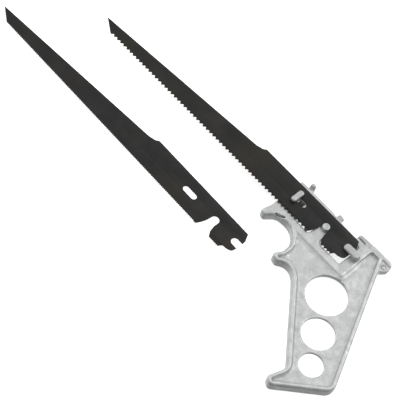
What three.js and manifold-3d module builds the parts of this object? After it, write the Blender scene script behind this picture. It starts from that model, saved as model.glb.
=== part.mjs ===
// Drywall saw: a pistol-grip handle cast in aluminium with two sets of blade lugs, a
// coarse blade locked on the side lugs, and a loose fine-toothed spare blade.
// Millimetres, +Z up. The saw lies on its side. X runs along the blade towards the grip,
// Y towards the blade's back, Z away from the surface that the rims rest on.
// Everything is laid out from the axis of the front side lug, which the blade turns on;
// the last lines move the whole to its origin, the bottom centre of its bounding box.

import * as THREE from 'three';
import { mergeVertices } from 'three/addons/utils/BufferGeometryUtils.js';
import Module from 'manifold-3d';

const wasm = await Module();
wasm.setup();

// Casting: a thin web with a rim all round, nearer to the blade's side.
const RIM_DEPTH = 8.6;
const WEB_BOTTOM = 4.0;
const WEB_TOP = 6.2;
const RIM_WIDTH = 2.6;
const FILLET_WIDTH = 4.4;
const FILLET_BOTTOM = 2.8;
const FILLET_TOP = 7.2;

// Outline of the handle as corners with their radii: x, y, radius.
const HANDLE_OUTLINE = [
  [-7.5, 13.2, 1.0], // front end of the blade seat
  [-7.2, -15.5, 6.0],
  [-9.6, -24.8, 2.2], // horn above the index finger
  [-4.6, -26.0, 2.0],
  [0.8, -18.5, 7.0], // index finger gap
  [14.4, -17.0, 13.0],
  [22.3, -27.6, 10.0],
  [22.5, -36.0, 8.0],
  [17.9, -42.4, 2.8], // horn between the index and middle fingers
  [25.0, -44.2, 3.2],
  [31.8, -38.5, 8.0], // front of the grip
  [40.0, -43.2, 12.0],
  [84.4, -93.2, 6.5],
  [80.0, -107.4, 3.0], // horn under the little finger
  [85.4, -111.4, 3.6],
  [116.0, -81.2, 8.0], // heel of the grip
  [68.4, 15.6, 1.0], // back of the grip, up into the spur
  [58.2, 15.6, 0.6],
  [58.2, 13.2, 0.4], // rear end of the top seat
];
const ARC_STEP = 0.24; // turn between an arc's points, in radians

// Spur behind the hand: a flange as deep as the rims, then a thinner rounded tip.
const SPUR_OUTLINE = [
  [57.5, 4.0, 0.5],
  [71.6, 1.0, 2.0],
  [73.8, 7.0, 3.0],
  [76.9, 11.2, 3.0],
  [76.1, 17.6, 3.2],
  [57.5, 17.6, 0.5],
];
const SPUR_FRONT_X = 57.5;
const SPUR_TIP_X = 68;
const SPUR_FLANGE_Y = 13.0;
const SPUR_TIP_BOTTOM = 2.6;
const SPUR_TIP_TOP = 7.6;

// Lightening holes: x, y, radius.
const GRIP_HOLES = [
  [63.8, -34.3, 14.6],
  [79.9, -58.7, 11.6],
  [92.7, -78.4, 8.5],
];

// Blade seat: a full-depth frame round two windows, with a bar between them.
const SEAT = { x0: -9.0, x1: 60.0, y0: -17.2, y1: 13.2 };
const FRONT_WINDOW = { x0: 10.6, x1: 23.6, y0: -12.0, y1: 8.2 };
const REAR_WINDOW = { x0: 32.8, x1: 52.8, y0: -12.0, y1: 8.2 };
const WINDOW_CORNER = 1.0;
const TOP_RELIEF = { x0: 32.0, x1: 46.0 };
const TOP_RELIEF_DEPTH = 1.2;
const TOP_PAD = { x0: -7.0, x1: 24.5, y0: 10.0, y1: 13.9 };
const HORN_POCKET = [
  [-2.2, -21.4, 0.5],
  [5.8, -18.0, 0.5],
  [5.2, -16.4, 0.5],
  [-2.8, -19.8, 0.5],
];

// Lugs. A T-head passes through the blade's slot when the blade stands square to the
// handle, the post stops the blade's hook notch, and the hook holds down its tail.
// Each stands a joint gap above its seat, on a stem in a socket.
const JOINT_GAP = 0.3;
const SIDE_CLAMP_GAP = 1.8; // from the seat up to the underside of a head
const TOP_CLAMP_GAP = 2.1;
const TOP_LUG_Z = 4.4;
const HEAD_THICKNESS = 2.8;
const SHANK_DIAMETER = 4.1;
const T_HEAD_LENGTH = 10.6;
const TOP_T_HEAD_LENGTH = 8.6;
const T_HEAD_WIDTH = 4.1;
const T_HEAD_CORNER = 1.4;
const POST_DIAMETER = 5.5;
const SIDE_POST_HEIGHT = 2.9;
const TOP_POST_HEIGHT = 3.7;
const HOOK_WIDTH = 5.6;
const HOOK_REAR_CORNER = 1.2;
const SIDE_HOOK = { stemX: 56.4, frontX: 46.0, shankX: 53.6, rearX: 58.8 };
const TOP_HOOK = { stemX: 55.6, frontX: 45.6, shankX: 54.0, rearX: 57.2 };
const STEM_RADIUS = 1.3;
const SOCKET_DEPTH = 2.4;

// Blades: x and y from the middle of the mounting slot, teeth on the -Y edge.
const BLADE_THICKNESS = 1.0;
const TOOTH_EDGE_Y = -12.6;
const BLADE_BACK_Y = 10.3;
const TIP_X = -186.0;
const TIP_Y = -5.2;
const TIP_HEEL_X = -175.0;
const NECK_X = -48.8;
const NECK_Y = 7.0;
const SHOULDER_X = -42.2;
const SLOT_LENGTH = 11.9;
const SLOT_WIDTH = 4.6;
const SLOT_MIDDLE_X = 2.8; // from the turning axis
const COARSE_PITCH = 25.4 / 8;
const COARSE_DEPTH = 1.5;
const FINE_PITCH = 25.4 / 18;
const FINE_DEPTH = 0.7;
const GULLET_PLACE = 0.55; // of a pitch behind the tooth's point

// The hook notch clears the post as the blade turns, so its lip is round about the axis.
const POST_X = 28.3;
const POST_Y = -0.4;
const LIP_RADIUS = 25.2;
const LIP_FLAT = 2.0;
const NOTCH_WIDTH = 6.1;
const TAIL_HEEL_X = 32.4;
const TAIL_STEP_X = 40.4;
const TAIL_LOBE_X = 47.6;
const TAIL_LOBE_Y = -8.8;
const TAIL_RADIUS = 52.6; // about the axis, so the tail clears the hook's shank
const TAIL_NOTCH_X = 45.6;
const TAIL_NOTCH_Y = -0.6;
const TAIL_NOTCH_WIDTH = 5.8;
const TAIL_PRONG_Y = 5.2;
const TAIL_CORNER_X = 46.8;

const SIDE_LUG_PLACES = [[0, 0], [POST_X, POST_Y], [SIDE_HOOK.stemX, POST_Y]];
const TOP_LUG_PLACES = [[0, TOP_PAD.y1], [POST_X, SEAT.y1], [TOP_HOOK.stemX, SEAT.y1]];

// Where the spare blade lies beside the handle, and its turn in radians.
const SPARE = { x: -49.4, y: -50.6, turn: -0.019 };

const castAluminium = () =>
  new THREE.MeshStandardMaterial({ color: 0xbcc0c0, roughness: 0.42, metalness: 0.9 });
const blackSteel = () =>
  new THREE.MeshStandardMaterial({ color: 0x363535, roughness: 0.5, metalness: 0.6 });

// A closed outline of straight runs joined by tangent arcs.
function roundedPoints(corners, step = ARC_STEP) {
  const points = [];
  corners.forEach(([x, y, radius], i) => {
    const corner = new THREE.Vector2(x, y);
    const before = new THREE.Vector2(...corners.at(i - 1).slice(0, 2));
    const after = new THREE.Vector2(...corners[(i + 1) % corners.length].slice(0, 2));
    const back = before.sub(corner).normalize();
    const ahead = after.sub(corner).normalize();
    const half = Math.acos(THREE.MathUtils.clamp(back.dot(ahead), -1, 1)) / 2;
    if (radius === 0) {
      points.push(corner);
      return;
    }
    const start = corner.clone().addScaledVector(back, radius / Math.tan(half));
    const middle = back.clone().add(ahead).normalize();
    const centre = corner.clone().addScaledVector(middle, radius / Math.sin(half));
    const spoke = start.clone().sub(centre);
    const sweep = (Math.PI - 2 * half) * Math.sign(ahead.cross(back));
    const parts = Math.max(2, Math.ceil(Math.abs(sweep) / step));
    for (let k = 0; k <= parts; k++) {
      const turned = spoke.clone().rotateAround(new THREE.Vector2(), (sweep * k) / parts);
      points.push(turned.add(centre));
    }
  });
  return points;
}

function circlePoints(x, y, radius, parts = 40) {
  const angles = Array.from({ length: parts }, (_, k) => (2 * Math.PI * k) / parts);
  return angles.map((a) => new THREE.Vector2(x + radius * Math.cos(a), y + radius * Math.sin(a)));
}

function boxPoints({ x0, x1, y0, y1 }) {
  return [[x0, y0], [x1, y0], [x1, y1], [x0, y1]].map(([x, y]) => new THREE.Vector2(x, y));
}

function windowPoints({ x0, x1, y0, y1 }) {
  const corners = [[x0, y0], [x1, y0], [x1, y1], [x0, y1]];
  return roundedPoints(corners.map(([x, y]) => [x, y, WINDOW_CORNER]), Math.PI / 6);
}

function distanceToOutline(point, outline) {
  const line = new THREE.Line3();
  const nearest = new THREE.Vector3();
  const from = new THREE.Vector3(point.x, point.y, 0);
  let least = Infinity;
  outline.forEach((a, i) => {
    const b = outline[(i + 1) % outline.length];
    line.start.set(a.x, a.y, 0);
    line.end.set(b.x, b.y, 0);
    line.closestPointToPoint(from, true, nearest);
    least = Math.min(least, nearest.distanceTo(from));
  });
  return least;
}

// The outline moved inwards, without the loops that tight corners would make.
function insetPoints(outline, distance) {
  const spacing = 1.2;
  const clockwise = THREE.ShapeUtils.isClockWise(outline);
  const inset = [];
  outline.forEach((a, i) => {
    const b = outline[(i + 1) % outline.length];
    const along = b.clone().sub(a);
    const length = along.length();
    const inwards = new THREE.Vector2(-along.y, along.x).normalize();
    inwards.multiplyScalar(clockwise ? -distance : distance);
    const parts = Math.max(1, Math.round(length / spacing));
    for (let k = 0; k < parts; k++) {
      const moved = a.clone().addScaledVector(along, (k + 0.5) / parts).add(inwards);
      if (distanceToOutline(moved, outline) > distance - 0.01) inset.push(moved);
    }
  });
  return withoutStraightPoints(inset);
}

function withoutStraightPoints(points) {
  return points.filter((point, i) => {
    const before = points.at(i - 1);
    const after = points[(i + 1) % points.length];
    const run = point.clone().sub(before).normalize();
    const next = after.clone().sub(point).normalize();
    return Math.abs(run.cross(next)) > 0.004;
  });
}

function toSolid(geometry) {
  const bare = geometry.clone();
  bare.deleteAttribute('normal');
  bare.deleteAttribute('uv');
  const merged = mergeVertices(bare, 1e-5);
  const vertProperties = new Float32Array(merged.attributes.position.array);
  const triVerts = new Uint32Array(merged.index.array);
  return new wasm.Manifold(new wasm.Mesh({ numProp: 3, vertProperties, triVerts }));
}

function toGeometry(solid) {
  const { vertProperties, triVerts } = solid.getMesh();
  const geometry = new THREE.BufferGeometry();
  geometry.setAttribute('position', new THREE.BufferAttribute(vertProperties, 3));
  geometry.setIndex(new THREE.BufferAttribute(triVerts, 1));
  geometry.computeVertexNormals();
  return geometry;
}

function prismGeometry(points, bottom, top, holes = []) {
  const shape = new THREE.Shape(points);
  shape.holes = holes.map((hole) => new THREE.Path(hole));
  const geometry = new THREE.ExtrudeGeometry(shape, { depth: top - bottom, bevelEnabled: false });
  return geometry.translate(0, 0, bottom);
}

// A prism over an outline, from one level to another.
function prism(points, bottom, top, holes = []) {
  return toSolid(prismGeometry(points, bottom, top, holes));
}

function ring(outline, width, bottom, top) {
  return prism(outline, bottom, top, [insetPoints(outline, width)]);
}

// A cylinder along Z with flat facets enough for its size.
function rod(x, y, radius, bottom, top) {
  return prism(circlePoints(x, y, radius, 24), bottom, top);
}

// ---- Handle casting ----

function makeHandle() {
  const outline = roundedPoints(HANDLE_OUTLINE);
  const through = [-1, RIM_DEPTH + 1];
  const seat = prism(boxPoints(SEAT), 0, RIM_DEPTH).intersect(prism(outline, 0, RIM_DEPTH));
  const body = prism(outline, WEB_BOTTOM, WEB_TOP)
    .add(ring(outline, FILLET_WIDTH, FILLET_BOTTOM, FILLET_TOP))
    .add(ring(outline, RIM_WIDTH, 0, RIM_DEPTH))
    .add(seat)
    .add(prism(boxPoints(TOP_PAD), 0, RIM_DEPTH))
    .add(makeSpur());
  const relief = { ...TOP_RELIEF, y0: SEAT.y1 - TOP_RELIEF_DEPTH, y1: SEAT.y1 + 1 };
  const pocket = roundedPoints(HORN_POCKET);
  const cuts = [
    ...GRIP_HOLES.map((hole) => prism(circlePoints(...hole), ...through)),
    prism(windowPoints(FRONT_WINDOW), ...through),
    prism(windowPoints(REAR_WINDOW), ...through),
    prism(boxPoints(relief), ...through),
    prism(pocket, -1, WEB_BOTTOM),
    prism(pocket, WEB_TOP, RIM_DEPTH + 1),
    ...SIDE_LUG_PLACES.map(([x, y]) => toSolid(socket().translate(x, y, RIM_DEPTH))),
    ...TOP_LUG_PLACES.map(([x, y]) => toSolid(onTopSeat(socket(), x, y))),
  ];
  return cuts.reduce((solid, cut) => solid.subtract(cut), body);
}

// The spur is full depth over the hand and thins towards its rounded tip.
function makeSpur() {
  const outline = roundedPoints(SPUR_OUTLINE);
  const overHand = boxPoints({ x0: SPUR_FRONT_X, x1: SPUR_TIP_X, y0: SPUR_FLANGE_Y, y1: 30 });
  const behind = boxPoints({ x0: SPUR_TIP_X, x1: 90, y0: SPUR_FLANGE_Y, y1: 30 });
  const fullDepth = prism(outline, 0, RIM_DEPTH).intersect(prism(overHand, 0, RIM_DEPTH));
  const tip = prism(outline, SPUR_TIP_BOTTOM, SPUR_TIP_TOP).intersect(prism(behind, 0, RIM_DEPTH));
  return prism(outline, WEB_BOTTOM, WEB_TOP).add(fullDepth).add(tip);
}

// The hole for a lug's stem, below a seat at z = 0.
function socket() {
  return prismGeometry(circlePoints(0, 0, STEM_RADIUS + JOINT_GAP, 24), -SOCKET_DEPTH, 1);
}

// Turns a shape that stands on z = 0 to stand on the back of the seat.
function onTopSeat(shape, x, y) {
  return shape.rotateX(-Math.PI / 2).translate(x, y, TOP_LUG_Z);
}

// ---- Lugs, each standing on a seat at its own z = 0 ----

function makeStem() {
  return rod(0, 0, STEM_RADIUS, -SOCKET_DEPTH + JOINT_GAP, 1);
}

function makeTLug(headLength, clampGap) {
  const half = headLength / 2;
  const side = T_HEAD_WIDTH / 2;
  const corners = [[-side, -half], [side, -half], [side, half], [-side, half]];
  const head = roundedPoints(corners.map(([x, y]) => [x, y, T_HEAD_CORNER]), Math.PI / 6);
  return makeStem()
    .add(rod(0, 0, SHANK_DIAMETER / 2, JOINT_GAP, clampGap + 0.5))
    .add(prism(head, clampGap, clampGap + HEAD_THICKNESS));
}

function makePost(height) {
  return makeStem().add(rod(0, 0, POST_DIAMETER / 2, JOINT_GAP, height));
}

// A hook's numbers are x places along the seat, from the turning axis.
function makeHook({ stemX, frontX, shankX, rearX }, clampGap) {
  const side = HOOK_WIDTH / 2;
  const front = frontX - stemX;
  const shank = shankX - stemX;
  const rear = rearX - stemX;
  const head = roundedPoints([
    [front, -side, side * 0.9], [rear, -side, HOOK_REAR_CORNER],
    [rear, side, HOOK_REAR_CORNER], [front, side, side * 0.9],
  ]);
  const foot = boxPoints({ x0: shank, x1: rear + 1, y0: -side - 1, y1: side + 1 });
  return makeStem()
    .add(prism(head, JOINT_GAP, clampGap + 0.5).intersect(prism(foot, 0, clampGap + 1)))
    .add(prism(head, clampGap, clampGap + HEAD_THICKNESS));
}

// ---- Blades, laid out from the middle of the mounting slot ----

function toothPoints(from, to, pitch, depth) {
  const count = Math.round((to - from) / pitch);
  const points = [];
  for (let k = 0; k < count; k++) {
    const x = from + ((to - from) * k) / count;
    points.push([x, TOOTH_EDGE_Y], [x + pitch * GULLET_PLACE, TOOTH_EDGE_Y + depth]);
  }
  points.push([to, TOOTH_EDGE_Y]);
  return points;
}

// Angle from the turning axis, on a circle about it, of the point at height y.
function angleAt(radius, y) {
  return Math.asin(y / radius);
}

function makeBlade(pitch, depth) {
  const axisX = -SLOT_MIDDLE_X;
  const lipAngle = angleAt(LIP_RADIUS, TOOTH_EDGE_Y);
  const notchRadius = NOTCH_WIDTH / 2;
  const notchX = POST_X - SLOT_MIDDLE_X;
  const lipX = axisX + LIP_RADIUS * Math.cos(lipAngle);
  const shape = new THREE.Shape();
  shape.moveTo(TIP_X, TIP_Y);
  toothPoints(TIP_HEEL_X, lipX - LIP_FLAT, pitch, depth).forEach((p) => shape.lineTo(...p));
  shape.absarc(axisX, 0, LIP_RADIUS, lipAngle, angleAt(LIP_RADIUS, POST_Y - 0.6), false);
  shape.absarc(notchX, POST_Y, notchRadius, Math.PI, 0, true);
  shape.lineTo(notchX + notchRadius, POST_Y - 4);
  shape.lineTo(notchX + notchRadius + 1.2, POST_Y - 8.6);
  toothPoints(TAIL_HEEL_X, TAIL_STEP_X, pitch, depth).forEach((p) => shape.lineTo(...p));
  shape.lineTo(TAIL_STEP_X + 2, TAIL_LOBE_Y - 0.4);
  shape.quadraticCurveTo(
    TAIL_LOBE_X + 1.4, TAIL_LOBE_Y, ...onTail(axisX, TAIL_LOBE_Y + 3.2));
  shape.lineTo(...onTail(axisX, TAIL_NOTCH_Y - TAIL_NOTCH_WIDTH / 2));
  shape.absarc(TAIL_NOTCH_X, TAIL_NOTCH_Y, TAIL_NOTCH_WIDTH / 2, -Math.PI / 2, Math.PI / 2, true);
  shape.lineTo(...onTail(axisX, TAIL_NOTCH_Y + TAIL_NOTCH_WIDTH / 2));
  shape.lineTo(...onTail(axisX, TAIL_PRONG_Y));
  shape.lineTo(TAIL_CORNER_X, BLADE_BACK_Y);
  shape.lineTo(SHOULDER_X, BLADE_BACK_Y);
  shape.quadraticCurveTo(SHOULDER_X - 1.6, NECK_Y + 1.2, SHOULDER_X - 3.4, NECK_Y + 1);
  shape.lineTo(NECK_X, NECK_Y);
  const slot = new THREE.Path();
  const end = (SLOT_LENGTH - SLOT_WIDTH) / 2;
  slot.absarc(end, 0, SLOT_WIDTH / 2, -Math.PI / 2, Math.PI / 2, false);
  slot.absarc(-end, 0, SLOT_WIDTH / 2, Math.PI / 2, (3 * Math.PI) / 2, false);
  shape.holes.push(slot);
  const settings = { depth: BLADE_THICKNESS, bevelEnabled: false, curveSegments: 8 };
  return toSolid(new THREE.ExtrudeGeometry(shape, settings));
}

// The point of the blade's end at height y: the end is round about the turning axis.
function onTail(axisX, y) {
  return [axisX + TAIL_RADIUS * Math.cos(angleAt(TAIL_RADIUS, y)), y];
}

// ---- Assembly ----

function part(name, solid, material) {
  const mesh = new THREE.Mesh(toGeometry(solid), material);
  mesh.name = name;
  return mesh;
}

function addSideLugs(saw, metal) {
  const lugs = [
    part('side_front_lug', makeTLug(T_HEAD_LENGTH, SIDE_CLAMP_GAP), metal),
    part('side_middle_post', makePost(SIDE_POST_HEIGHT), metal),
    part('side_rear_hook', makeHook(SIDE_HOOK, SIDE_CLAMP_GAP), metal),
  ];
  lugs.forEach((lug, i) => lug.position.set(...SIDE_LUG_PLACES[i], RIM_DEPTH));
  saw.add(...lugs);
}

// The top set repeats the side set, turned to stand on the back of the seat.
function addTopLugs(saw, metal) {
  const lugs = [
    part('top_front_lug', makeTLug(TOP_T_HEAD_LENGTH, TOP_CLAMP_GAP), metal),
    part('top_middle_post', makePost(TOP_POST_HEIGHT), metal),
    part('top_rear_hook', makeHook(TOP_HOOK, TOP_CLAMP_GAP), metal),
  ];
  lugs.forEach((lug, i) => {
    lug.position.set(...TOP_LUG_PLACES[i], TOP_LUG_Z);
    lug.rotateX(-Math.PI / 2);
  });
  saw.add(...lugs);
}

function addBlades(saw, steel) {
  const coarse = part('coarse_blade', makeBlade(COARSE_PITCH, COARSE_DEPTH), steel);
  coarse.position.set(SLOT_MIDDLE_X, 0, RIM_DEPTH + JOINT_GAP);
  const fine = part('fine_blade', makeBlade(FINE_PITCH, FINE_DEPTH), steel);
  fine.position.set(SPARE.x, SPARE.y, 0);
  fine.rotation.z = SPARE.turn;
  saw.add(coarse, fine);
}

function moveToOrigin(saw) {
  const box = new THREE.Box3().setFromObject(saw);
  const centre = box.getCenter(new THREE.Vector3());
  saw.position.set(-centre.x, -centre.y, -box.min.z);
}

const metal = castAluminium();
const saw = new THREE.Group();
saw.add(part('handle_casting', makeHandle(), metal));
addSideLugs(saw, metal);
addTopLugs(saw, metal);
addBlades(saw, blackSteel());
moveToOrigin(saw);

export default saw;
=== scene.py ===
"""Drywall saw on a pale floor: the cast handle, its blade lugs, the mounted coarse blade
and the loose fine blade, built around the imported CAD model.

Lengths in the tables below are in millimetres from the turning axis of the mounted blade.
"""
import math

import bpy
import numpy as np
from mathutils import Euler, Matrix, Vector

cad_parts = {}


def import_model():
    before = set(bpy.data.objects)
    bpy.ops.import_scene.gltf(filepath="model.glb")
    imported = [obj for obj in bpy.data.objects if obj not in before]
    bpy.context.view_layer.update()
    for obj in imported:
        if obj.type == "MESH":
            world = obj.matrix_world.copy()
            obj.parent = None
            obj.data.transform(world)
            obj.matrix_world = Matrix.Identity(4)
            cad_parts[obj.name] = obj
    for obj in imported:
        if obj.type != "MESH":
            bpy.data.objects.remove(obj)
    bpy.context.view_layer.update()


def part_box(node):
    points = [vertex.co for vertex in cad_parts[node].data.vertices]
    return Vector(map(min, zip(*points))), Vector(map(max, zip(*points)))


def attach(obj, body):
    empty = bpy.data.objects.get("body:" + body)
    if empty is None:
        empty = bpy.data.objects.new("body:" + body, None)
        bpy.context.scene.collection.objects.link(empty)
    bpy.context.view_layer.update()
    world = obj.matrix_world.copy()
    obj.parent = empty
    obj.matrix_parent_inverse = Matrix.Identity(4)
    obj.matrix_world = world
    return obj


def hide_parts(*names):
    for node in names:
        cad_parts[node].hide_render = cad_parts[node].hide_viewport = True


MM = 0.001

# Casting
RIM_DEPTH = 8.6
MID = RIM_DEPTH / 2
WEB_MIDDLE = 5.1
WEB_THICKNESS = 2.2
RIM_WIDTH = 2.7
RIM_ROUND = 1.9
DRAFT = 0.16
HANDLE_OUTLINE = [
    (-7.5, 13.8, 1.0),
    (-7.2, -15.5, 6.0),
    (-9.6, -24.8, 2.2),
    (-4.6, -26.0, 2.0),
    (0.8, -18.5, 7.0),
    (14.4, -17.0, 13.0),
    (22.3, -27.6, 10.0),
    (22.5, -36.0, 8.0),
    (17.9, -42.4, 2.8),
    (25.0, -44.2, 3.2),
    (31.8, -38.5, 8.0),
    (40.0, -43.2, 12.0),
    (84.4, -93.2, 6.5),
    (80.0, -107.4, 3.0),
    (85.4, -111.4, 3.6),
    (116.0, -81.2, 8.0),
    (68.4, 15.6, 1.0),
    (58.2, 15.6, 0.6),
    (58.2, 13.2, 0.4),
    (46.6, 13.2, 0.4),
    (45.8, 12.0, 0.4),
    (32.4, 12.0, 0.4),
    (31.6, 13.2, 0.4),
    (25.0, 13.2, 0.4),
    (24.4, 13.9, 0.4),
]
SPUR_OUTLINE = [
    (57.5, 4.0, 0.5),
    (71.6, 1.0, 2.0),
    (73.8, 7.0, 3.0),
    (76.9, 11.2, 3.0),
    (76.1, 17.6, 3.2),
    (57.5, 17.6, 0.8),
]
SPUR_FLANGE_Y = 13.0
GRIP_HOLES = [(63.8, -34.3, 14.6), (79.9, -58.7, 11.6), (92.7, -78.4, 8.5)]
SEAT = (-9.0, 60.0, -17.2, 14.0)
WINDOWS = [(10.6, 23.6, -12.0, 8.2), (32.8, 52.8, -12.0, 8.2)]
HORN_SLITS = [((-0.6, -19.0), (5.4, -16.4), 0.5)]
SLOT_RECESS = (1.4, 6.8, -2.2, 2.4)
EJECTOR_MARKS = [(73.4, 11.0, 1.7, 7.5, 0.5), (57.0, -14.6, 1.4, RIM_DEPTH, 0.25)]

# Lugs: place on the seat, then the shape standing on it
SIDE_T_LUG = {"place": (0.0, 0.0), "gap": 1.8, "half": (2.05, 5.3)}
SIDE_POST = {"place": (28.3, -0.4), "height": 2.9}
SIDE_HOOK = {"place": (56.4, -0.4), "gap": 1.8, "head": 2.8, "reach": (-10.4, -2.8, 2.4)}
TOP_T_LUG = {"place": (0.0, 13.9), "gap": 2.1, "half": (2.05, 4.3)}
TOP_POST = {"place": (28.3, 13.2), "height": 3.7}
TOP_HOOK = {"place": (55.6, 13.2), "gap": 1.15, "head": 3.7, "reach": (-10.0, -2.4, 5.0)}
TOP_LUG_Z = 4.4
HEAD_THICKNESS = 2.8
POST_RADIUS = 2.75
HOOK_HALF_WIDTH = 2.8

# Blades, from the middle of the mounting slot
BLADE_THICKNESS = 1.0
TOOTH_EDGE_Y = -12.6
BLADE_BACK_Y = 10.3
SLOT_MIDDLE_X = 2.8
SPARE = (-49.4, -50.6, -0.019)
COARSE = {"pitch": 25.4 / 8, "depth": 1.5, "set": 0.1, "notch": (45.9, 0.4, 2.4)}
FINE = {"pitch": 25.4 / 18, "depth": 0.7, "set": 0.06, "notch": (45.6, -0.6, 2.9)}


# ---- Distance fields: negative inside, in millimetres ----


def rounded(corners, step=0.16):
    """Points of a closed outline of straight runs joined by tangent arcs."""
    points = []
    count = len(corners)
    for i, (x, y, radius) in enumerate(corners):
        corner = np.array([x, y])
        back = np.array(corners[i - 1][:2]) - corner
        ahead = np.array(corners[(i + 1) % count][:2]) - corner
        back = back / np.hypot(*back)
        ahead = ahead / np.hypot(*ahead)
        half = math.acos(np.clip(back @ ahead, -1, 1)) / 2
        start = corner + back * radius / math.tan(half)
        middle = (back + ahead) / np.hypot(*(back + ahead))
        centre = corner + middle * radius / math.sin(half)
        spoke = start - centre
        side = np.sign(ahead[0] * back[1] - ahead[1] * back[0])
        sweep = (math.pi - 2 * half) * side
        parts = max(2, math.ceil(abs(sweep) / step))
        for k in range(parts + 1):
            a = sweep * k / parts
            turned = (
                spoke[0] * math.cos(a) - spoke[1] * math.sin(a),
                spoke[0] * math.sin(a) + spoke[1] * math.cos(a),
            )
            points.append(centre + turned)
    return np.array(points)


def polygon_field(points, x, y):
    """Signed distance from each place to a closed outline."""
    nearest = np.full(x.shape, 1e9)
    inside = np.zeros(x.shape, bool)
    for a, b in zip(points, np.roll(points, -1, axis=0)):
        run = b - a
        length = run @ run
        if length < 1e-9:
            continue
        t = np.clip(((x - a[0]) * run[0] + (y - a[1]) * run[1]) / length, 0, 1)
        gap = (x - a[0] - t * run[0]) ** 2 + (y - a[1] - t * run[1]) ** 2
        nearest = np.minimum(nearest, gap)
        if a[1] != b[1]:
            crosses = ((a[1] > y) != (b[1] > y)) & (x < a[0] + run[0] * (y - a[1]) / run[1])
            inside ^= crosses
    distance = np.sqrt(nearest)
    return np.where(inside, -distance, distance)


def box_field(x, y, x0, x1, y0, y1, radius=0.0):
    dx = np.abs(x - (x0 + x1) / 2) - (x1 - x0) / 2 + radius
    dy = np.abs(y - (y0 + y1) / 2) - (y1 - y0) / 2 + radius
    outside = np.hypot(np.maximum(dx, 0), np.maximum(dy, 0))
    return outside + np.minimum(np.maximum(dx, dy), 0) - radius


def capsule_field(x, y, start, end, radius):
    run = np.subtract(end, start)
    t = ((x - start[0]) * run[0] + (y - start[1]) * run[1]) / (run @ run)
    t = np.clip(t, 0, 1)
    return np.hypot(x - start[0] - t * run[0], y - start[1] - t * run[1]) - radius


def meet(a, b, radius):
    """Where both are inside, with the edge between them rounded."""
    corner = np.hypot(np.maximum(a + radius, 0), np.maximum(b + radius, 0))
    return np.minimum(np.maximum(a, b) + radius, 0) + corner - radius


def cut(a, b, blend):
    """a without b, with a smooth edge."""
    h = np.maximum(blend - np.abs(a + b), 0) / blend
    return np.maximum(a, -b) + h * h * blend / 4


def join(a, b, blend):
    """a and b together, with a smooth fillet between them."""
    h = np.maximum(blend - np.abs(a - b), 0) / blend
    return np.minimum(a, b) - h * h * blend / 4


def smoothstep(value, low, high):
    t = np.clip((value - low) / (high - low), 0, 1)
    return t * t * (3 - 2 * t)


def surface_of(field, lows, steps):
    """Points and quads of the surface where a field on a grid changes sign."""
    inside = field < 0
    cells = tuple(n - 1 for n in field.shape)
    total = np.zeros(cells + (3,))
    count = np.zeros(cells)
    crossings = []
    for axis in range(3):
        near = [slice(None)] * 3
        far = [slice(None)] * 3
        near[axis] = slice(0, -1)
        far[axis] = slice(1, None)
        near, far = tuple(near), tuple(far)
        where = np.argwhere(inside[near] != inside[far])
        a = field[near][tuple(where.T)]
        b = field[far][tuple(where.T)]
        place = where.astype(float)
        place[:, axis] += a / (a - b)
        others = [k for k in range(3) if k != axis]
        for first in (0, 1):
            for second in (0, 1):
                cell = where.copy()
                cell[:, others[0]] -= first
                cell[:, others[1]] -= second
                fits = np.all((cell >= 0) & (cell < cells), axis=1)
                index = tuple(cell[fits].T)
                np.add.at(total, index, place[fits])
                np.add.at(count, index, 1)
        crossings.append((axis, others, where, a < 0))
    used = count > 0
    number = np.full(cells, -1)
    number[used] = np.arange(used.sum())
    points = total[used] / count[used][:, None] * steps + lows
    quads = []
    for axis, others, where, solid_first in crossings:
        ring = []
        for first, second in ((0, 0), (1, 0), (1, 1), (0, 1)):
            cell = where.copy()
            cell[:, others[0]] -= first
            cell[:, others[1]] -= second
            ring.append(number[tuple(cell.T)])
        ring = np.stack(ring, axis=1)
        flip = solid_first if axis != 1 else ~solid_first
        ring[~flip] = ring[~flip][:, ::-1]
        quads.append(ring)
    return points, np.concatenate(quads)


def mesh_of(name, points, faces):
    mesh = bpy.data.meshes.new(name)
    mesh.from_pydata((np.asarray(points) * MM).tolist(), [], np.asarray(faces).tolist())
    mesh.validate()
    mesh.shade_smooth()
    obj = bpy.data.objects.new(name, mesh)
    bpy.context.scene.collection.objects.link(obj)
    return obj


def solid_from(name, shape, lows, highs, steps):
    """A mesh of shape(x, y, z), which gives a field, over a box."""
    lows, highs, steps = (np.array(v, float) for v in (lows, highs, steps))
    axes = [np.arange(lo, hi + s, s) for lo, hi, s in zip(lows, highs, steps)]
    grid = np.meshgrid(*axes, indexing="ij")
    field = shape(*grid)
    points, quads = surface_of(field, lows, steps)
    return mesh_of(name, points, quads)


# ---- Handle ----


def with_spur(body, x, y, z):
    """Adds the spur, whose tip is thinner than the rims below its flange."""
    spur = polygon_field(rounded(SPUR_OUTLINE), x, y)
    thin = smoothstep(x, 66.0, 69.0) * smoothstep(-y, -15.0, -13.8)
    low = 2.4 * smoothstep(x, 66.5, 69.5)[:, :, None]
    high = RIM_DEPTH - 1.1 * thin[:, :, None]
    tip = meet(spur[:, :, None], np.maximum(z - high, low - z), 0.9)
    return np.maximum(join(body, tip, 1.2), np.abs(z - MID) - MID)


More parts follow.
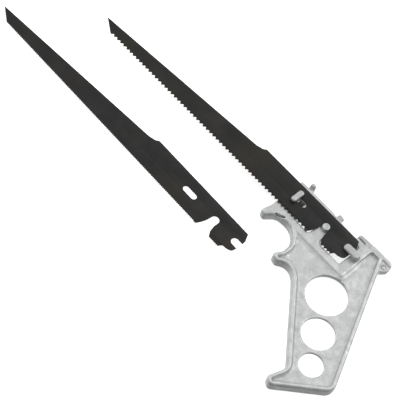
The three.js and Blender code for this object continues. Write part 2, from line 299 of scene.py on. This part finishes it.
def without_pockets(body, outline, seat, x, y, z):
    """Hollows both sides down to the web, which rises towards the seat on the blade's side."""
    flange = (SPUR_FLANGE_Y - y)[:, :, None]
    pocket = (outline + RIM_WIDTH)[:, :, None]
    pocket = np.maximum(pocket, -np.maximum(flange, 57.0 - x[:, :, None]))
    pocket = np.maximum(pocket, -seat)
    horn = np.maximum(x[:, :, None] - 9.0, seat - 8.0)
    blade_side = z > WEB_MIDDLE
    pocket = np.where(blade_side, np.maximum(pocket, -horn), pocket)
    level = 0.05 * np.maximum(26.0 - seat, 0) * smoothstep(-y, -8.0, 6.0)[:, :, None]
    rise = np.where(blade_side, level, 0.0)
    draft = DRAFT * (MID - np.abs(z - MID))
    web = WEB_THICKNESS / 2 - np.abs(z - WEB_MIDDLE)
    return cut(body, meet(pocket + draft, web + rise, 2.0), 0.7)


def without_marks(body, seat, x, y, z):
    """Lines along the seat, a slit in the horn, ejector marks and the slot's recess."""
    for line in (0.4, 3.0):
        groove = np.hypot(seat - line, z - RIM_DEPTH + 1.1 + 0.05 * line) - 0.32
        body = cut(body, np.maximum(groove, 15.0 - x[:, :, None]), 0.3)
    for start, end, radius in HORN_SLITS:
        slit = capsule_field(x, y, start, end, radius)[:, :, None]
        body = cut(body, np.maximum(slit, 5.6 - z), 0.5)
    for cx, cy, radius, level, depth in EJECTOR_MARKS:
        ring = np.abs(np.hypot(x - cx, y - cy) - radius)[:, :, None]
        body = cut(body, np.hypot(ring, z - level) - depth, 0.2)
    recess = box_field(x, y, *SLOT_RECESS, radius=0.8)[:, :, None]
    return cut(body, np.maximum(recess, 1.6 - z), 0.4)


def handle_field(x, y, z):
    flat_x, flat_y = x[:, :, 0], y[:, :, 0]
    outline = polygon_field(rounded(HANDLE_OUTLINE), flat_x, flat_y)
    seat = box_field(flat_x, flat_y, *SEAT)[:, :, None]
    edge = RIM_ROUND - 1.2 * smoothstep(-seat, 0.0, 3.0)
    body = meet(outline[:, :, None], np.abs(z - MID) - MID, edge)
    body = with_spur(body, flat_x, flat_y, z)
    body = without_pockets(body, outline, seat, flat_x, flat_y, z)
    draft = DRAFT * (MID - np.abs(z - MID))
    for window in WINDOWS:
        hole = box_field(flat_x, flat_y, *window, radius=1.2)[:, :, None] + draft
        body = cut(body, hole, 0.8)
    for cx, cy, radius in GRIP_HOLES:
        hole = (np.hypot(flat_x - cx, flat_y - cy) - radius)[:, :, None]
        body = cut(body, hole, 0.8)
    return without_marks(body, seat, flat_x, flat_y, z)


def make_handle():
    return solid_from(
        "cast_handle",
        handle_field,
        (-11.2, -113.0, -0.9),
        (115.8, 19.4, 9.6),
        (0.5, 0.5, 0.42),
    )


# ---- Lugs: each stands on z = 0 ----


def flared_rod(x, y, z, radius, top):
    """A round stem that widens into the casting."""
    flare = 0.9 * np.exp(-np.maximum(z, 0) / 0.55)
    return meet(np.hypot(x, y) - radius - flare, np.maximum(z - top, -0.6 - z), 0.35)


def t_lug_field(lug):
    half_x, half_y = lug["half"]

    def field(x, y, z):
        stem = flared_rod(x, y, z, 2.0, lug["gap"] + 1.0)
        bar = box_field(x, y, -half_x, half_x, -half_y, half_y, radius=1.7)
        middle = lug["gap"] + HEAD_THICKNESS / 2
        head = meet(bar, np.abs(z - middle) - HEAD_THICKNESS / 2, 1.1)
        return join(stem, head, 0.7)

    return field


def post_field(lug):
    def field(x, y, z):
        post = flared_rod(x, y, z, POST_RADIUS - 0.1, lug["height"])
        dimple = np.hypot(np.hypot(x, y), z - lug["height"] - 1.7) - 2.2
        return cut(post, dimple, 0.5)

    return field


def hook_field(lug):
    side = HOOK_HALF_WIDTH
    front, shank, rear = lug["reach"]
    middle = lug["gap"] + lug["head"] / 2

    def field(x, y, z):
        finger = box_field(x, y, front, rear, -side, side, radius=2.3)
        crown = 0.035 * np.maximum(shank - x, 0) ** 1.2
        head = meet(finger, np.abs(z - middle) + crown - lug["head"] / 2, 1.1)
        foot_shape = box_field(x, y, shank, rear, -side, side, radius=2.2)
        flare = 0.8 * np.exp(-np.maximum(z, 0) / 0.6)
        foot = meet(foot_shape - flare, np.maximum(z - middle, -0.6 - z), 0.3)
        return join(head, foot, 1.2)

    return field


def make_lug(name, lug, shape, reach):
    step = 0.24
    lows = (reach[0] - 1.5, reach[2] - 1.5, -0.9)
    highs = (reach[1] + 1.5, reach[3] + 1.5, 6.4)
    return solid_from(name, shape(lug), lows, highs, (step, step, step))


def place_on_side(obj, lug):
    shift = Vector((lug["place"][0] * MM, lug["place"][1] * MM, RIM_DEPTH * MM))
    for vertex in obj.data.vertices:
        vertex.co += shift


def place_on_top(obj, lug):
    obj.data.transform(Euler((-math.pi / 2, 0, 0)).to_matrix().to_4x4())
    shift = Vector((lug["place"][0] * MM, lug["place"][1] * MM, TOP_LUG_Z * MM))
    for vertex in obj.data.vertices:
        vertex.co += shift


# ---- Blades ----


def tooth_points(start, end, pitch, depth):
    count = round((end - start) / pitch)
    points = []
    for k in range(count):
        x = start + (end - start) * k / count
        points += [(x, TOOTH_EDGE_Y), (x + 0.16 * pitch, TOOTH_EDGE_Y + 0.25 * depth)]
        gullet_y = TOOTH_EDGE_Y + depth
        points += [(x + 0.5 * pitch, gullet_y), (x + 0.68 * pitch, gullet_y)]
    return points + [(end, TOOTH_EDGE_Y)]


def arc(cx, cy, radius, first, last, parts):
    angles = [first + (last - first) * k / parts for k in range(parts + 1)]
    return [(cx + radius * math.cos(a), cy + radius * math.sin(a)) for a in angles]


def curved(start, bend, end, parts=6):
    points = []
    for k in range(1, parts + 1):
        t = k / parts
        a, b, c = (1 - t) ** 2, 2 * t * (1 - t), t * t
        points.append(tuple(a * s + b * m + c * e for s, m, e in zip(start, bend, end)))
    return points


def blade_outline(teeth):
    pitch, depth = teeth["pitch"], teeth["depth"]
    notch_x, notch_y, notch_radius = teeth["notch"]
    axis_x = -SLOT_MIDDLE_X
    post_x, post_y, notch = 28.3 - SLOT_MIDDLE_X, -0.4, 3.05
    lip, tail = 25.2, 52.6

    def on_tail(y):
        return (axis_x + math.sqrt(tail**2 - y**2), y)

    lip_angle = math.asin(TOOTH_EDGE_Y / lip)
    points = [(-186.0, -5.2)]
    points += tooth_points(-175.0, axis_x + lip * math.cos(lip_angle) - 2.0, pitch, depth)
    points += arc(axis_x, 0, lip, lip_angle, math.asin((post_y - 0.6) / lip), 14)
    points += arc(post_x, post_y, notch, math.pi, 0, 12)
    points += [(post_x + notch, post_y - 4.0), (post_x + notch + 1.2, post_y - 8.6)]
    points += tooth_points(32.4, 40.4, pitch, depth)
    points += [(42.4, -9.2)]
    points += curved((42.4, -9.2), (49.0, -8.8), on_tail(-5.6))
    points += [on_tail(notch_y - notch_radius)]
    points += arc(notch_x, notch_y, notch_radius, -math.pi / 2, -3 * math.pi / 2, 12)
    points += [on_tail(notch_y + notch_radius), on_tail(5.2)]
    points += [(46.8, BLADE_BACK_Y), (-42.2, BLADE_BACK_Y)]
    points += curved((-42.2, BLADE_BACK_Y), (-43.8, 8.2), (-45.6, 8.0))
    points += [(-48.8, 7.0)]
    return points


def make_blade(name, teeth, place, turn, bottom):
    """A flat blade: outline and slot filled, with small bevelled edges."""
    curve = bpy.data.curves.new(name, "CURVE")
    curve.dimensions = "2D"
    curve.fill_mode = "BOTH"
    bevel = 0.11
    set_out = teeth["set"]
    curve.bevel_depth = bevel
    curve.bevel_resolution = 1
    curve.offset = -bevel
    curve.extrude = BLADE_THICKNESS / 2 - bevel - set_out
    slot = arc(3.65, 0, 2.3, -math.pi / 2, math.pi / 2, 12)
    slot += arc(-3.65, 0, 2.3, math.pi / 2, 3 * math.pi / 2, 12)
    for points in (blade_outline(teeth), slot):
        spline = curve.splines.new("POLY")
        spline.points.add(len(points) - 1)
        for point, (x, y) in zip(spline.points, points):
            point.co = (x, y, 0, 1)
        spline.use_cyclic_u = True
    source = bpy.data.objects.new(name + "_outline", curve)
    bpy.context.scene.collection.objects.link(source)
    bpy.context.view_layer.update()
    mesh = bpy.data.meshes.new_from_object(source)
    bpy.data.objects.remove(source)
    set_teeth(mesh, teeth)
    cos_turn, sin_turn = math.cos(turn), math.sin(turn)
    for vertex in mesh.vertices:
        x, y, z = vertex.co
        vertex.co = (
            (place[0] + x * cos_turn - y * sin_turn) * MM,
            (place[1] + x * sin_turn + y * cos_turn) * MM,
            (bottom + BLADE_THICKNESS / 2 + z) * MM,
        )
    mesh.name = name
    obj = bpy.data.objects.new(name, mesh)
    bpy.context.scene.collection.objects.link(obj)
    return obj


def set_teeth(mesh, teeth):
    """Bends the teeth's points to one side and the other in turn."""
    for vertex in mesh.vertices:
        reach = 1 - (vertex.co.y - TOOTH_EDGE_Y) / teeth["depth"]
        if reach > 0 and vertex.co.x < 42:
            number = math.floor((vertex.co.x + 175.0 + 0.3 * teeth["pitch"]) / teeth["pitch"])
            side = 1 if number % 2 else -1
            vertex.co.z += side * teeth["set"] * min(reach, 1.0)


# ---- Materials ----


class Nodes:
    """A short way to write a node material."""

    def __init__(self, name):
        self.material = bpy.data.materials.new(name)
        self.material.use_nodes = True
        self.tree = self.material.node_tree
        self.shader = self.tree.nodes["Principled BSDF"]
        self.place = self.add("ShaderNodeTexCoord").outputs["Object"]

    def add(self, kind, **settings):
        node = self.tree.nodes.new(kind)
        for key, value in settings.items():
            setattr(node, key, value)
        return node

    def link(self, source, target):
        self.tree.links.new(source, target)

    def noise(self, scale, detail=3.0, roughness=0.55):
        node = self.add("ShaderNodeTexNoise")
        node.inputs["Scale"].default_value = scale
        node.inputs["Detail"].default_value = detail
        node.inputs["Roughness"].default_value = roughness
        self.link(self.place, node.inputs["Vector"])
        return node.outputs["Fac"]

    def ramp(self, source, stops):
        node = self.add("ShaderNodeValToRGB")
        elements = node.color_ramp.elements
        while len(elements) < len(stops):
            elements.new(0.5)
        for element, (place, colour) in zip(elements, stops):
            element.position = place
            element.color = (*colour, 1)
        self.link(source, node.inputs["Fac"])
        return node.outputs["Color"]

    def span(self, source, low, high, to_low, to_high):
        node = self.add("ShaderNodeMapRange")
        values = (low, high, to_low, to_high)
        for name, value in zip(("From Min", "From Max", "To Min", "To Max"), values):
            node.inputs[name].default_value = value
        self.link(source, node.inputs["Value"])
        return node.outputs["Result"]

    def mix(self, factor, a, b, blend="MIX"):
        node = self.add("ShaderNodeMix", data_type="RGBA", blend_type=blend)
        self.link(factor, node.inputs["Factor"])
        for socket, value in ((node.inputs["A"], a), (node.inputs["B"], b)):
            if isinstance(value, tuple):
                socket.default_value = (*value, 1)
            else:
                self.link(value, socket)
        return node.outputs["Result"]

    def bump(self, height, distance, strength, before=None):
        node = self.add("ShaderNodeBump")
        node.inputs["Distance"].default_value = distance
        node.inputs["Strength"].default_value = strength
        self.link(height, node.inputs["Height"])
        if before is not None:
            self.link(before, node.inputs["Normal"])
        return node.outputs["Normal"]


def cast_metal(name, dark, light, edge_highlight):
    """Tumbled die casting: cloudy grey, finely pitted, with a painted highlight on sharp edges and
    painted shade in hollows.
    """
    n = Nodes(name)
    clouds = n.noise(150, 5.0, 0.7)
    cool = [(0.32, (dark, dark * 1.02, dark * 1.025)), (0.68, (light, light * 1.01, light * 1.01))]
    tint = n.ramp(clouds, cool)
    speckle = n.span(n.noise(1400, 2.0), 0.35, 0.65, 0.0, 0.4)
    tint = n.mix(speckle, tint, (light * 1.1, light * 1.12, light * 1.1))
    geometry = n.add("ShaderNodeNewGeometry")
    # Painted highlight: sharp edges are lightened towards near white.
    edges = n.span(geometry.outputs["Pointiness"], 0.515, 0.57, 0.0, edge_highlight)
    tint = n.mix(edges, tint, (0.80, 0.81, 0.81))
    # Painted shade: hollows and creases are darkened towards near black.
    hollow_shade = n.span(geometry.outputs["Pointiness"], 0.43, 0.495, 0.85, 0.0)
    tint = n.mix(hollow_shade, tint, (0.13, 0.135, 0.14))
    n.link(tint, n.shader.inputs["Base Color"])
    n.link(n.span(n.noise(260, 3.0), 0.3, 0.7, 0.30, 0.52), n.shader.inputs["Roughness"])
    n.shader.inputs["Metallic"].default_value = 0.6
    swell = n.bump(n.noise(260, 3.0), 0.00040, 0.8)
    pits = n.bump(n.noise(1300, 2.0), 0.00012, 0.7, swell)
    n.link(pits, n.shader.inputs["Normal"])
    return n.material


def black_steel():
    """Blackened blade steel: nearly black, with a faint brown and green cast."""
    n = Nodes("blackened_steel")
    clouds = n.noise(60, 5.0, 0.65)
    tint = n.ramp(
        clouds,
        [(0.30, (0.009, 0.009, 0.0085)), (0.50, (0.014, 0.0138, 0.013)), (0.72, (0.024, 0.023, 0.021))],
    )
    stains = n.span(n.noise(24, 3.0), 0.52, 0.72, 0.0, 0.6)
    tint = n.mix(stains, tint, (0.030, 0.019, 0.014))
    olive = n.span(n.noise(17, 2.0), 0.54, 0.70, 0.0, 0.5)
    tint = n.mix(olive, tint, (0.020, 0.021, 0.010))
    geometry = n.add("ShaderNodeNewGeometry")
    edges = n.span(geometry.outputs["Pointiness"], 0.52, 0.60, 0.0, 0.5)
    tint = n.mix(edges, tint, (0.10, 0.10, 0.105))
    n.link(tint, n.shader.inputs["Base Color"])
    n.link(n.span(n.noise(140, 4.0), 0.3, 0.7, 0.34, 0.56), n.shader.inputs["Roughness"])
    n.shader.inputs["Metallic"].default_value = 0.1
    n.shader.inputs["Specular IOR Level"].default_value = 0.22
    grain = n.add("ShaderNodeMapping")
    n.link(n.place, grain.inputs["Vector"])
    grain.inputs["Scale"].default_value = (0.06, 1.0, 1.0)
    lines = n.add("ShaderNodeTexNoise")
    lines.inputs["Scale"].default_value = 1800
    n.link(grain.outputs["Vector"], lines.inputs["Vector"])
    rolled = n.bump(lines.outputs["Fac"], 0.00006, 0.35)
    spots = n.bump(n.noise(420, 3.0), 0.00012, 0.35, rolled)
    n.link(spots, n.shader.inputs["Normal"])
    return n.material


def floor_material():
    n = Nodes("floor")
    cloth = n.ramp(n.noise(3.0, 2.0), [(0.3, (0.90, 0.90, 0.90)), (0.7, (0.92, 0.92, 0.92))])
    n.link(cloth, n.shader.inputs["Base Color"])
    n.link(cloth, n.shader.inputs["Emission Color"])
    n.shader.inputs["Emission Strength"].default_value = 0.8
    n.shader.inputs["Roughness"].default_value = 0.9
    return n.material


# ---- Stage, light and camera ----


def make_floor(centre):
    mesh = bpy.data.meshes.new("floor")
    size = 3.0
    corners = [(-size, -size, 0), (size, -size, 0), (size, size, 0), (-size, size, 0)]
    mesh.from_pydata(corners, [], [(0, 1, 2, 3)])
    floor = bpy.data.objects.new("floor", mesh)
    floor.location = (centre.x, centre.y, -0.0001)
    bpy.context.scene.collection.objects.link(floor)
    mesh.materials.append(floor_material())
    floor.visible_diffuse = False
    floor.visible_glossy = False


def area_light(name, place, aim, size, power):
    light = bpy.data.lights.new(name, "AREA")
    light.shape = "RECTANGLE"
    light.size, light.size_y = size
    light.energy = power
    obj = bpy.data.objects.new(name, light)
    obj.location = place
    obj.rotation_euler = (Vector(aim) - Vector(place)).to_track_quat("-Z", "Y").to_euler()
    bpy.context.scene.collection.objects.link(obj)


def make_light(axis):
    world = bpy.data.worlds.new("studio")
    world.use_nodes = True
    background = world.node_tree.nodes["Background"]
    background.inputs["Color"].default_value = (1.0, 1.0, 1.0, 1)
    tree = world.node_tree
    place = tree.nodes.new("ShaderNodeTexCoord")
    towards = tree.nodes.new("ShaderNodeVectorMath")
    towards.operation = "DOT_PRODUCT"
    towards.inputs[1].default_value = (0.6, -0.8, 0.0)
    dimmer = tree.nodes.new("ShaderNodeMapRange")
    for name, value in (("From Min", -0.2), ("From Max", 0.9), ("To Min", 1.0), ("To Max", 0.18)):
        dimmer.inputs[name].default_value = value
    tree.links.new(place.outputs["Generated"], towards.inputs[0])
    tree.links.new(towards.outputs["Value"], dimmer.inputs["Value"])
    tree.links.new(dimmer.outputs["Result"], background.inputs["Strength"])
    bpy.context.scene.world = world
    x, y = axis.x, axis.y
    area_light("key", (x - 0.9, y - 0.2, 0.9), (x, y, 0), (0.7, 0.5), 1.6)
    area_light("fill", (x + 0.5, y + 0.9, 1.2), (x, y, 0), (0.8, 0.8), 3.0)


def make_camera(axis):
    data = bpy.data.cameras.new("camera")
    data.sensor_fit = "HORIZONTAL"
    data.sensor_width = 36
    data.lens = 181.9
    data.clip_end = 20
    camera = bpy.data.objects.new("camera", data)
    camera.location = (axis.x + 0.3001, axis.y - 0.7037, 1.1419)
    angles = (30.92, -11.82, 46.24)
    camera.rotation_euler = Euler([math.radians(a) for a in angles])
    bpy.context.scene.collection.objects.link(camera)
    bpy.context.scene.camera = camera


# ---- Assembly ----


def main():
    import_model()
    low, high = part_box("side_front_lug")
    axis = (low + high) / 2
    axis.z = 0
    # The last argument of cast_metal sets the strength of its painted edge highlight.
    metal = cast_metal("cast_aluminium", 0.40, 0.66, 0.9)
    # The lugs get a darker copy of the casting metal: painted shade, with a weaker painted edge
    # highlight.
    shaded_lug_metal = cast_metal("cast_aluminium_lugs", 0.38, 0.54, 0.5)
    steel = black_steel()
    scene_settings = bpy.context.scene.view_settings
    scene_settings.view_transform = "Standard"

    pieces = [(make_handle(), "handle", "handle_casting", metal)]
    reach_t = (-2.1, 2.1, -5.3, 5.3)
    reach_hook = (-10.4, 5.6, -3.6, 3.6)
    reach_post = (-3.6, 3.6, -3.6, 3.6)
    lugs = [
        ("side_front_lug", SIDE_T_LUG, t_lug_field, reach_t, place_on_side),
        ("side_middle_post", SIDE_POST, post_field, reach_post, place_on_side),
        ("side_rear_hook", SIDE_HOOK, hook_field, reach_hook, place_on_side),
        ("top_front_lug", TOP_T_LUG, t_lug_field, reach_t, place_on_top),
        ("top_middle_post", TOP_POST, post_field, reach_post, place_on_top),
        ("top_rear_hook", TOP_HOOK, hook_field, reach_hook, place_on_top),
    ]
    for node, lug, shape, reach, place in lugs:
        obj = make_lug("cast_" + node, lug, shape, reach)
        place(obj, lug)
        pieces.append((obj, "handle", node, shaded_lug_metal))
    coarse = make_blade("steel_coarse_blade", COARSE, (SLOT_MIDDLE_X, 0), 0, RIM_DEPTH + 0.3)
    fine = make_blade("steel_fine_blade", FINE, SPARE[:2], SPARE[2], 0)
    pieces.append((coarse, "mounted_blade", "coarse_blade", steel))
    pieces.append((fine, "spare_blade", "fine_blade", steel))

    for obj, body, node, material in pieces:
        for vertex in obj.data.vertices:
            vertex.co += axis
        obj.data.materials.append(material)
        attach(obj, body)
        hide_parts(node)

    make_floor(axis)
    make_light(axis)
    make_camera(axis)


main()
